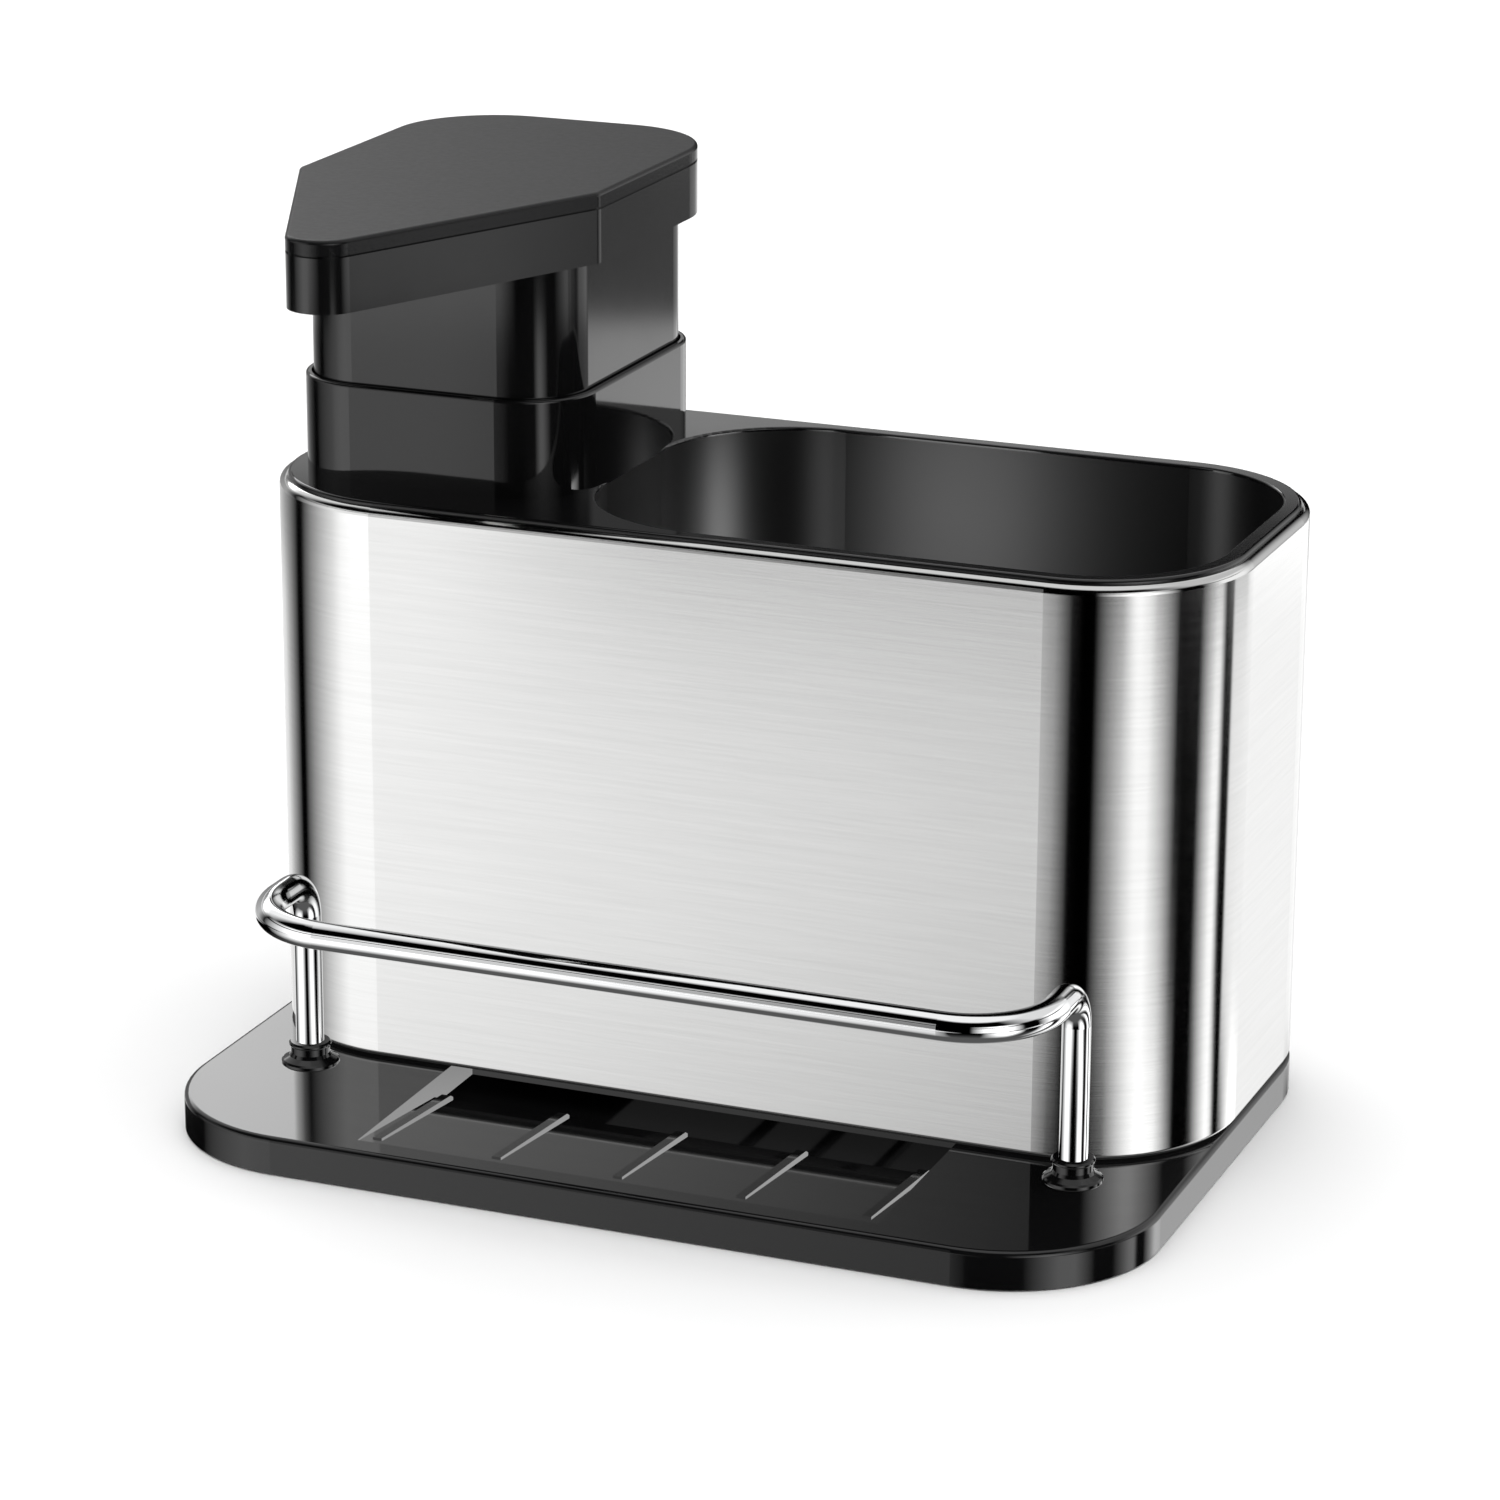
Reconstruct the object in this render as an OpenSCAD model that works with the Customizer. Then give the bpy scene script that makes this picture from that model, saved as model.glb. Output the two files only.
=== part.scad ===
// Kitchen caddy: a base tray with a ribbed sponge pocket, a brushed steel body with a
// brush compartment, and a soap pump that is pressed by a long nosed cap.
// X runs across the front, Y runs to the back, Z is up. The origin is on the surface
// that the caddy stands on, under the middle of its base.

/* [Base tray] */
// Width of the base
base_w = 180; // [170:1:200]
// Depth of the base, front to back
base_d = 128; // [124:1:140]
// Height of the base's deck above the surface
base_h = 7; // [6.6:0.1:9]
// Corner radius of the base
base_r = 27.5; // [20:0.5:32]
// Rounding of the base's upper edge
base_edge = 1; // [0.5:0.1:1.5]
// Wall of the base moulding
base_wall = 2.2; // [1.8:0.1:2.6]
// How far the rubber feet lift the base
base_lift = 0.3; // [0.2:0.1:1.2]
// Radius of a rubber foot
foot_r = 6; // [4:0.5:7]
// Thickness of a rubber foot
foot_t = 2.4; // [1.6:0.1:3]
// Distance between a foot's centre and the side of the base
foot_side = 22; // [20:1:30]
// Distance between a foot's centre and the front or back of the base
foot_end = 18; // [16:1:22]

/* [Sponge pocket] */
// Width of the pocket
pocket_w = 96; // [80:1:104]
// Flat lip left in front of the pocket
pocket_lip = 5; // [4:0.5:8]
// Distance between the sloping floor and the steel body
pocket_end = 6; // [5:0.5:10]
// Depth of the floor below the deck at its back edge
pocket_fall = 3.4; // [2:0.1:3.6]
// Depth of the drain channel below the deck
drain_fall = 4.8; // [4:0.1:5]
// How far the drain channel reaches under the steel body
drain_reach = 10; // [6:0.5:11]
// Number of ribs on the floor
rib_count = 5; // [3:1:7]
// Distance between ribs
rib_pitch = 22.6; // [12:0.1:23]
// Width of a rib
rib_w = 1.7; // [1.2:0.1:2.6]
// Height of a rib at its back end
rib_h = 1.2; // [0.8:0.1:2]
// Height of a rib at its front end
rib_tip = 0.5; // [0.2:0.1:0.8]

/* [Sponge rail] */
// Diameter of the rail's wire
wire_d = 5; // [4:0.5:6]
// Distance between a post and the side of the base
post_side = 18; // [15:0.5:25]
// Distance of the posts in front of the steel body
post_gap = 7; // [6:0.5:9]
// Height of the rail's middle above the deck
rail_h = 35; // [25:1:60]
// Distance of the rail behind the front of the base
rail_inset = 9; // [6:0.5:12]
// Bend radius between post and side run
bend_r = 6.7; // [5:0.1:8]
// Bend radius of the rail's front corners
corner_r = 15; // [10:0.5:17]
// Height of a ferrule
ferrule_h = 4.4; // [3.6:0.1:6]
// Radius of a ferrule's foot
ferrule_r = 5.2; // [4.6:0.1:5.5]

/* [Steel shell] */
// Depth of the deck in front of the steel body
front_d = 42; // [38:0.5:44]
// Height of the steel body
shell_h = 101.5; // [90:0.1:120]
// Corner radius of the steel body
shell_r = 28; // [24:0.5:30]
// Thickness of the sheet
sheet_t = 0.8; // [0.6:0.1:1.2]
// Width of the turned-in lips
lip_w = 2.7; // [2.4:0.1:3]
// Rounding of the upper shoulder
shoulder_r = 1.5; // [1:0.1:1.6]
// Rounding of the lower edge
hem_r = 0.6; // [0.3:0.1:0.8]
// Height of the seal under the shell
seal_h = 0.7; // [0.5:0.1:1.5]
// Width of the seal
seal_w = 2.4; // [2:0.1:3]
// How far the seal is set back from the shell's face
seal_inset = 1.2; // [0.8:0.1:1.6]

/* [Top liner] */
// How far the flange is set back from the shell's face
flange_inset = 1.6; // [1.2:0.1:1.8]
// Height of the flange above the shell
flange_t = 0.8; // [0.6:0.1:1.5]
// Rounding of the edge of the opening
rim_edge = 0.4; // [0.2:0.1:0.5]
// Width of the rim round the opening
rim_w = 3.2; // [3:0.1:4]
// Wall of the liner
liner_wall = 1.8; // [1.4:0.1:1.9]
// Thickness of the deck
deck_t = 3; // [2:0.1:4]
// Corner radius at the left end of the compartment
cup_r = 26; // [18:1:30]
// Height of the compartment's floor above the base's deck
cup_floor = 13; // [12:0.5:30]
// Height of the skirt that centres the liner in the shell
skirt_h = 9; // [5:0.5:14]
// Width of a drain slot
slot_w = 3; // [2:0.5:4]
// Number of drain slots
slot_count = 6; // [3:1:8]
// Width of the collar round the pump's sleeve
collar_w = 55; // [50:0.5:60]
// Distance between the collar and the left side of the steel body
collar_side = 5; // [4.4:0.1:8]
// Distance between the collar and the front of the steel body
collar_front = 12.5; // [10:0.5:16]
// Distance between the collar and the back of the steel body
collar_back = 8; // [8:0.5:11]
// Corner radius of the collar
collar_r = 13.5; // [12:0.5:15]
// Height of the collar above the deck
collar_h = 17.5; // [14:0.5:22]
// Wall of the collar
collar_wall = 1; // [0.9:0.1:1.4]

/* [Pump head] */
// Gap all round between sleeve and collar
sleeve_gap = 0.4; // [0.3:0.1:1]
// Wall of the sleeve
sleeve_wall = 1.8; // [1.4:0.1:2]
// Length of sleeve inside the collar at rest
sleeve_overlap = 9.5; // [8:0.5:11]
// Travel of the pump
stroke = 16; // [10:0.5:17]
// Gap between cap and collar at rest
cap_lift = 23; // [20:0.5:26]
// How far the cap reaches past the collar at each side
cap_side = 1.4; // [1:0.1:2.5]
// How far the cap reaches behind the collar
cap_tail = 6.4; // [4:0.1:7]
// Reach of the nose in front of the pump's axis
nose_reach = 75.5; // [66:0.5:80]
// Radius of the nose
nose_r = 6.5; // [5:0.1:7.5]
// Distance between the axis and the middle of the cap's side corners
cap_shoulder = 19.8; // [14:0.1:22]
// Radius of the cap's side corners
side_r = 3; // [2.4:0.1:6]
// Radius of the cap's back corners
back_r = 19; // [14:0.5:20]
// Height of the cap's skirt, without its top plate
skirt_z = 9.5; // [8.5:0.5:12]
// Thickness of the cap's top plate
plate_t = 3; // [2:0.2:4]
// Height of the shadow groove under the top plate
groove_h = 0.4; // [0.2:0.1:0.6]
// Depth of the shadow groove
groove_d = 0.5; // [0.3:0.1:0.8]
// Wall of the cap's skirt
cap_wall = 1.6; // [1.2:0.1:1.8]
// Distance of the outlet behind the tip of the nose
outlet_back = 9; // [8.5:0.5:14]

/* [Soap bottle] */
// Clearance between the bottle and the opening that it lifts out of
bottle_gap = 1.3; // [1:0.1:2]
// Height of the bottle's body
bottle_h = 92; // [80:1:93]
// Wall of the bottle
bottle_wall = 1.2; // [0.9:0.1:1.6]
// Rounding of the bottle's shoulder
bottle_edge = 5; // [3:0.5:6]
// Radius of the neck
neck_r = 12.5; // [12:0.25:14]
// Height of the neck
neck_h = 13; // [11:0.5:14]
// Height of the guides beside the bottle's foot
guide_h = 2.6; // [1.5:0.1:2.8]

/* [Pump] */
// Radius of the pump's cylinder bore
bore_r = 6; // [5.5:0.1:6.5]
// Wall of the pump's housing
housing_wall = 1.4; // [1:0.1:1.8]
// Radius of the hollow stem
stem_r = 3.4; // [3:0.1:3.8]
// Radius of the stem's channel
stem_bore_r = 1.9; // [1.4:0.1:2]
// Running clearance of stem and piston
run_gap = 0.05; // [0.02:0.01:0.08]
// Radius of the inlet ball
ball_r = 2.75; // [2.4:0.05:2.9]
// Radius of the inlet hole
inlet_r = 1.6; // [1.2:0.1:1.8]
// Travel of the inlet ball
ball_travel = 2.5; // [1:0.1:2.6]
// Radius of the dip tube
dip_r = 3; // [2.5:0.1:3.2]
// Radius of the dip tube's bore
dip_bore_r = 2; // [1.5:0.1:2.2]
// Gap between the dip tube and the bottle's floor
dip_gap = 4; // [2:0.5:8]
// Diameter of the spring's wire
spring_wire = 0.9; // [0.7:0.1:1]
// Turns of the spring
spring_turns = 5.5; // [4:0.5:6]
// Length of the spring's space at rest
spring_room = 23.5; // [22:0.5:26]
// Depth of the piston's top below the top of the neck
piston_drop = 11.2; // [11:0.1:13]
// Length of the dip tube's socket below the inlet
socket_l = 10.5; // [6:0.5:14]
// Radius of the spout tube
spout_r = 2.6; // [2.2:0.1:2.8]
// Radius of the spout tube's bore
spout_bore_r = 1.6; // [1:0.1:1.8]

/* [Hidden] */
$fn = 96;

// Overrun of a cutting shape past the face that it cuts
cut = 1;
half_w = base_w / 2;
half_d = base_d / 2;

// Heights
deck_z = base_h;
shell_z = deck_z + seal_h;
shell_top = shell_z + shell_h;
flange_top = shell_top + flange_t;
collar_top = flange_top + collar_h;
cap_z = collar_top + cap_lift;
web_t = 2;
web_z = cap_z + skirt_z - web_t;
plate_z = cap_z + skirt_z;
sleeve_z = collar_top - sleeve_overlap;

// The pocket and its drain
pocket_front = -half_d + pocket_lip;
floor_back = -half_d + front_d - pocket_end;
drain_back = -half_d + front_d + drain_reach;
floor_front_z = deck_z - 0.2;
floor_back_z = deck_z - pocket_fall;
drain_z = deck_z - drain_fall;
floor_t = 2;
rib_lead = 2;

// The steel body
shell_back = half_d;
shell_front = -half_d + front_d;
post_x = half_w - post_side;
post_y = shell_front - post_gap;
rail_z = deck_z + rail_h;
rail_y = -half_d + rail_inset;
wire_r = wire_d / 2;
wire_z = 2.4;
nut_t = 1;
nut_r = 4.5;
post_clear = 0.1;

// The brush compartment and the pump's axis
collar_d = base_d - front_d - collar_front - collar_back;
axis_x = -half_w + collar_side + collar_w / 2;
axis_y = shell_front + collar_front + collar_d / 2;
cup_inset = flange_inset + rim_w;
cup_x0 = axis_x + collar_w / 2;
cup_x1 = half_w - cup_inset;
cup_front = shell_front + cup_inset;
cup_back = shell_back - cup_inset;
cup_z = deck_z + cup_floor;
cup_floor_t = 2;
skirt_bottom = shell_top - skirt_h;

// Screws
screw_r = 1.5;
screw_hole_r = 1.7;
screw_head_r = 2.9;
screw_head_t = 1.8;
screw_bite = 10;
boss_r = 2.4;
boss_gap = 0.2;
boss_inset = 35;
seat_r = 4.4;
seat_t = 2;
pilot_r = 1.3;
boss_front = shell_front + seal_inset + seal_w + boss_r + boss_gap;
boss_back = shell_back - seal_inset - seal_w - boss_r - boss_gap;
boss_side = half_w - boss_inset;
boss_step = collar_d / 2 - 2 * seat_r;
screw_spots = [[axis_x, boss_front], [axis_x, boss_back], [boss_side, axis_y - boss_step],
    [boss_side, axis_y + boss_step]];

// The bottle, its neck and its closure
neck_z = deck_z + bottle_h;
neck_top = neck_z + neck_h;
neck_wall = 2.2;
gasket_t = 1;
housing_flange_z = neck_top + gasket_t;
housing_flange_t = 1.5;
closure_plate_z = housing_flange_z + housing_flange_t;
closure_plate_t = 2;
closure_gap = 0.3;
closure_wall = 2.2;
closure_r = neck_r + closure_gap + closure_wall;
closure_lift = 2.5;
closure_z = neck_z + closure_lift;
grip_count = 24;
grip_r = 0.6;
housing_r = bore_r + housing_wall;
housing_lip_r = housing_r + 0.8;

// The pump's moving parts at rest, from the bush downwards
bush_rise = 3.5;
bush_top = closure_plate_z + closure_plate_t + bush_rise;
bush_flange_t = 2;
piston_top = neck_top - piston_drop;
piston_gap = 0.3;
piston_h = 7.3;
plug_t = 1.5;
plug_z = piston_top - piston_h - plug_t;
port_r = 0.9;
port_z = plug_z + plug_t + 1.1;
spring_r = bore_r - spring_wire / 2 - 0.6;
spring_seat_z = plug_z - spring_room;
ledge_t = 1;
chamber_h = 7;
chamber_r = ball_r + 0.65;
keeper_r = ball_r - 0.65;
inlet_z = spring_seat_z - ledge_t - chamber_h;
inlet_t = 1.5;
spigot_z = inlet_z - socket_l;
spigot_r = dip_r + 1.4;
ball_clear = 0.02;
ball_z = inlet_z + sqrt(ball_r * ball_r - inlet_r * inlet_r) + ball_clear;

// The head's inner parts
stem_top = cap_z + 1;
socket_r = 6;
socket_z = cap_z - 4.5;
spout_z = cap_z + 3.6;
chamber_top = spout_z + spout_r + 0.6;
outlet_y = axis_y - nose_reach + outlet_back;
nozzle_r = 3.4;
spout_step = 1.2;
plate_edge = 0.7;
collar_edge = 0.5;
cap_w = collar_w + 2 * cap_side;
cap_back = collar_d / 2 + cap_tail;

// Outlines are lists of corner circles [x, y, radius], taken anticlockwise.
function rect(x0, x1, y0, y1, r) =
    [[x0 + r, y0 + r, r], [x1 - r, y0 + r, r], [x1 - r, y1 - r, r], [x0 + r, y1 - r, r]];
function inset(c, d) = [for (p = c) [p[0], p[1], p[2] - d]];
// The straight side between two corner circles, as its two end points
function side(a, b) =
    let (d = [b[0] - a[0], b[1] - a[1]],
         t = atan2(d[1], d[0]) - acos((a[2] - b[2]) / norm(d)),
         n = [cos(t), sin(t)])
    [[a[0], a[1]] + a[2] * n, [b[0], b[1]] + b[2] * n];
function sides(c) = [for (i = [0 : len(c) - 1]) side(c[i], c[(i + 1) % len(c)])];
function heading(s) = atan2(s[1][1] - s[0][1], s[1][0] - s[0][0]);
function turn(a, b) = (heading(b) - heading(a) + 720) % 360;

base_outline = rect(-half_w, half_w, -half_d, half_d, base_r);
shell_outline = rect(-half_w, half_w, shell_front, shell_back, shell_r);
flange_outline = inset(shell_outline, flange_inset);
skirt_outline = inset(shell_outline, cup_inset - liner_wall);
cup_right_r = shell_r - cup_inset;
cup_outline = [[cup_x0 + cup_r, cup_front + cup_r, cup_r],
    [cup_x1 - cup_right_r, cup_front + cup_right_r, cup_right_r],
    [cup_x1 - cup_right_r, cup_back - cup_right_r, cup_right_r],
    [cup_x0 + cup_r, cup_back - cup_r, cup_r]];
collar_outline = rect(axis_x - collar_w / 2, axis_x + collar_w / 2,
    axis_y - collar_d / 2, axis_y + collar_d / 2, collar_r);
well_outline = inset(collar_outline, collar_wall);
sleeve_outline = inset(well_outline, sleeve_gap);
bottle_outline = inset(well_outline, bottle_gap);
cap_outline = [[axis_x - cap_w / 2 + side_r, axis_y - cap_shoulder, side_r],
    [axis_x, axis_y - nose_reach + nose_r, nose_r],
    [axis_x + cap_w / 2 - side_r, axis_y - cap_shoulder, side_r],
    [axis_x + cap_w / 2 - back_r, axis_y + cap_back - back_r, back_r],
    [axis_x - cap_w / 2 + back_r, axis_y + cap_back - back_r, back_r]];

// An outline as a polygon through the corner centres, with a slice of a circle at each corner
module rounded(c) {
    s = sides(c);
    n = len(c);
    polygon([for (i = [0 : n - 1]) each [[c[i][0], c[i][1]], s[i][0], s[i][1]]]);
    for (i = [0 : n - 1])
        translate([c[i][0], c[i][1]])
            slice(c[i][2], heading(s[(i + n - 1) % n]) - 90, turn(s[(i + n - 1) % n], s[i]));
}

// A slice of a circle, from the angle a on through the angle t
module slice(r, a, t) {
    reach = 2 * r;
    intersection() {
        circle(r);
        polygon([[0, 0], reach * [cos(a), sin(a)], reach * [cos(a + t / 2), sin(a + t / 2)],
            reach * [cos(a + t), sin(a + t)]]);
    }
}

module prism(c, z0, z1) {
    translate([0, 0, z0])
        linear_extrude(z1 - z0)
            rounded(c);
}

// Profile of the cutter that rounds an edge to the radius e
module edge_profile(e) {
    difference() {
        square(e + cut);
        circle(e);
    }
}

// Sweeps a profile along an outline: it turns at the corners and runs straight between them
module along(c) {
    s = sides(c);
    n = len(c);
    for (i = [0 : n - 1])
        translate([c[i][0], c[i][1], 0])
            rotate([0, 0, heading(s[(i + n - 1) % n]) - 90])
                rotate_extrude(angle = turn(s[(i + n - 1) % n], s[i]))
                    translate([c[i][2], 0])
                        children();
    for (t = s)
        translate([t[1][0], t[1][1], 0])
            rotate([90, 0, heading(t) - 90])
                linear_extrude(norm(t[1] - t[0]))
                    children();
}

// A prism whose upper edge is rounded
module soft_prism(c, z0, z1, e) {
    difference() {
        prism(c, z0, z1);
        translate([0, 0, z1 - e])
            along(inset(c, e))
                edge_profile(e);
    }
}

// Cutter that rounds the upper edge of an opening
module rim_cutter(c, z1, e) {
    translate([0, 0, z1 - e])
        along(inset(c, -e))
            mirror([1, 0])
                edge_profile(e);
}

// Cutter that rounds the lower edge of a prism
module hem_cutter(c, z0, e) {
    translate([0, 0, z0 + e])
        along(inset(c, e))
            mirror([0, 1])
                edge_profile(e);
}

module disc(r, z0, z1) {
    translate([0, 0, z0])
        cylinder(h = z1 - z0, r = r);
}

module ring(r_in, r_out, z0, z1) {
    translate([0, 0, z0])
        difference() {
            cylinder(h = z1 - z0, r = r_out);
            translate([0, 0, -cut])
                cylinder(h = z1 - z0 + 2 * cut, r = r_in);
        }
}

module at_axis() {
    translate([axis_x, axis_y, 0])
        children();
}

// A profile in the YZ plane, drawn across the width w about the middle
module across(w) {
    rotate([90, 0, 90])
        linear_extrude(w, center = true)
            children();
}

module foot_spots() {
    for (x = [-half_w + foot_side, half_w - foot_side])
        for (y = [-half_d + foot_end, half_d - foot_end])
            translate([x, y, 0])
                children();
}

module screw_spots() {
    for (p = screw_spots)
        translate([p[0], p[1], 0])
            children();
}

module post_spots() {
    for (x = [-post_x, post_x])
        translate([x, post_y, 0])
            children();
}

// Base tray: a shallow moulding, open below, with the sloped pocket in front
module base_tray() {
    pocket_box = [pocket_w + 2 * base_wall, drain_back - pocket_front + 2 * base_wall];
    rib_slope = (floor_front_z - floor_back_z) / (floor_back - pocket_front);
    rib_front = pocket_front + rib_lead;
    rib_front_z = floor_front_z - rib_lead * rib_slope;
    rib_root = 0.6;
    guide_gap = 0.7;
    guide_x = collar_w / 2 - collar_wall - bottle_gap + guide_gap;
    guide_w = 1.6;
    guide_l = 36;
    color("#1b1b1c") {
        difference() {
            union() {
                difference() {
                    soft_prism(base_outline, base_lift, deck_z, base_edge);
                    difference() {
                        prism(inset(base_outline, base_wall), -cut, deck_z - base_wall);
                        translate([-pocket_box[0] / 2, pocket_front - base_wall, -2 * cut])
                            cube([pocket_box[0], pocket_box[1], deck_z + 2 * cut]);
                    }
                    across(pocket_w)
                        polygon([[pocket_front, -cut],
                            [pocket_front, floor_front_z - floor_t],
                            [floor_back, floor_back_z - floor_t],
                            [floor_back, -cut]]);
                }
                foot_spots()
                    disc(foot_r + 1.6, base_lift, deck_z - base_wall / 2);
                screw_spots()
                    disc(seat_r, base_lift, deck_z - base_wall / 2);
                at_axis()
                    for (s = [-1, 1])
                        translate([s * (guide_x + guide_w / 2), 0, deck_z + guide_h / 2])
                            cube([guide_w, guide_l, guide_h], center = true);
            }
            across(pocket_w)
                polygon([[pocket_front, deck_z + cut],
                    [pocket_front, floor_front_z],
                    [floor_back, floor_back_z],
                    [floor_back, drain_z],
                    [drain_back, drain_z],
                    [drain_back, deck_z + cut]]);
            foot_spots()
                disc(foot_r + 0.1, -cut, foot_t);
            screw_spots() {
                disc(screw_hole_r, -cut, deck_z + cut);
                disc(screw_head_r + 0.3, -cut, deck_z - seat_t);
            }
            post_spots()
                disc(wire_r + post_clear, -cut, deck_z + cut);
        }
        for (i = [0 : rib_count - 1])
            translate([(i - (rib_count - 1) / 2) * rib_pitch, 0, 0])
                across(rib_w)
                    polygon([[rib_front, rib_front_z - rib_root],
                        [rib_front, rib_front_z + rib_tip],
                        [floor_back - rib_lead / 2, floor_back_z + rib_h],
                        [floor_back, floor_back_z + rib_h / 2],
                        [floor_back, floor_back_z - rib_root]]);
    }
}

module rubber_feet() {
    color("#303030")
        foot_spots()
            disc(foot_r, 0, foot_t);
}

module base_screws() {
    head_z = deck_z - seat_t;
    color("#b8b8ba")
        screw_spots()
            difference() {
                union() {
                    disc(screw_head_r, head_z - screw_head_t, head_z);
                    disc(screw_r, head_z - screw_head_t, deck_z + screw_bite);
                }
                for (a = [0, 90])
                    rotate([0, 0, a])
                        translate([0, 0, head_z - screw_head_t])
                            cube([3.2, 0.9, 1.8], center = true);
            }
}

// Ferrules: a short neck on a flared foot, round the wire where it enters the deck
module rail_ferrules() {
    foot_t = 0.8;
    neck_t = 1;
    neck = wire_r + neck_t;
    lip = 0.3;
    color("#1b1b1c")
        post_spots()
            translate([0, 0, deck_z])
                rotate_extrude()
                    polygon([[wire_r, 0], [ferrule_r - lip, 0], [ferrule_r, lip],
                        [ferrule_r, foot_t], [ferrule_r - lip, foot_t + lip],
                        [neck + lip, foot_t + 3 * lip], [neck, foot_t + 5 * lip],
                        [neck, ferrule_h - 3 * lip], [neck + lip, ferrule_h - 2 * lip],
                        [neck + lip, ferrule_h - lip], [neck, ferrule_h],
                        [wire_r, ferrule_h]]);
}

module rail_push_nuts() {
    color("#b8b8ba")
        post_spots()
            ring(wire_r, nut_r, deck_z - base_wall - nut_t, deck_z - base_wall);
}

// Sponge rail: one wire, up from the deck, forward, and across the front
module sponge_rail() {
    color("#dcdcde") {
        for (s = [-1, 1]) {
            translate([s * post_x, post_y, wire_z])
                cylinder(h = rail_z - bend_r - wire_z, r = wire_r);
            translate([s * post_x, post_y - bend_r, rail_z - bend_r])
                rotate([90, 0, 90])
                    rotate_extrude(angle = 90)
                        translate([bend_r, 0])
                            circle(wire_r);
            translate([s * post_x, rail_y + corner_r, rail_z])
                rotate([-90, 0, 0])
                    cylinder(h = post_y - bend_r - rail_y - corner_r, r = wire_r);
            translate([s * (post_x - corner_r), rail_y + corner_r, rail_z])
                rotate([0, 0, s > 0 ? -90 : 180])
                    rotate_extrude(angle = 90)
                        translate([corner_r, 0])
                            circle(wire_r);
        }
        translate([-post_x + corner_r, rail_y, rail_z])
            rotate([0, 90, 0])
                cylinder(h = 2 * (post_x - corner_r), r = wire_r);
    }
}

// Steel shell: a drawn sleeve with lips turned in at the top and bottom
module steel_shell() {
    color("#c9cacb")
        difference() {
            soft_prism(shell_outline, shell_z, shell_top, shoulder_r);
            hem_cutter(shell_outline, shell_z, hem_r);
            soft_prism(inset(shell_outline, sheet_t), shell_z + sheet_t, shell_top - sheet_t,
                shoulder_r - sheet_t);
            prism(inset(shell_outline, lip_w), shell_z - cut, shell_top + cut);
        }
}

module shell_seal() {
    color("#0f0f10")
        difference() {
            prism(inset(shell_outline, seal_inset), deck_z, shell_z);
            prism(inset(shell_outline, seal_inset + seal_w), deck_z - cut, shell_z + cut);
        }
}

// Top liner: flange, brush compartment, collar and screw pillars in one moulding
module top_liner() {
    cup_outer = inset(cup_outline, -liner_wall);
    slot_x0 = cup_x0 + cup_r;
    slot_step = (cup_x1 - cup_right_r - slot_x0) / (slot_count - 1);
    slot_l = 32;
    slot_y = (cup_front + cup_back) / 2;
    color("#1b1b1c") {
        difference() {
            union() {
                difference() {
                    soft_prism(flange_outline, shell_top, flange_top, flange_t * 0.75);
                    rim_cutter(cup_outline, flange_top, rim_edge);
                }
                prism(skirt_outline, skirt_bottom, shell_top);
                prism(cup_outer, cup_z - cup_floor_t, shell_top);
                soft_prism(collar_outline, flange_top - deck_t, collar_top, collar_edge);
            }
            difference() {
                prism(inset(skirt_outline, liner_wall), skirt_bottom - cut, flange_top - deck_t);
                prism(cup_outer, skirt_bottom - 2 * cut, flange_top);
            }
            prism(cup_outline, cup_z, flange_top + cut);
            prism(well_outline, skirt_bottom - cut, collar_top + cut);
            for (i = [0 : slot_count - 1])
                prism([[slot_x0 + i * slot_step, slot_y - slot_l / 2, slot_w / 2],
                    [slot_x0 + i * slot_step, slot_y + slot_l / 2, slot_w / 2]],
                    cup_z - cup_floor_t - cut, cup_z + cut);
        }
        for (p = screw_spots)
            translate([p[0], p[1], 0])
                ring(pilot_r, boss_r, deck_z, p[0] < cup_x0 ? flange_top - deck_t : cup_z - cup_floor_t);
    }
}

// Soap bottle: lifts out through the collar to be filled
module soap_bottle() {
    color("#e4e6e4")
        difference() {
            union() {
                soft_prism(bottle_outline, deck_z, neck_z, bottle_edge);
                at_axis()
                    disc(neck_r, neck_z - bottle_wall, neck_top);
            }
            soft_prism(inset(bottle_outline, bottle_wall), deck_z + bottle_wall,
                neck_z - bottle_wall, bottle_edge - bottle_wall);
            at_axis()
                disc(neck_r - neck_wall, neck_z - 2 * bottle_wall, neck_top + cut);
        }
}

module bottle_closure() {
    color("#2a2a2b")
        at_axis()
            difference() {
                union() {
                    disc(closure_r, closure_z, closure_plate_z + closure_plate_t);
                    for (i = [0 : grip_count - 1])
                        rotate([0, 0, i * 360 / grip_count])
                            translate([closure_r, 0, 0])
                                disc(grip_r, closure_z + 1, closure_plate_z);
                }
                disc(neck_r + closure_gap, closure_z - cut, closure_plate_z);
                disc(housing_lip_r + 0.1, closure_z, closure_plate_z + closure_plate_t + cut);
            }
}

module closure_gasket() {
    color("#8a8d8a")
        at_axis()
            ring(housing_r + 0.2, neck_r, neck_top, housing_flange_z);
}

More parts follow.
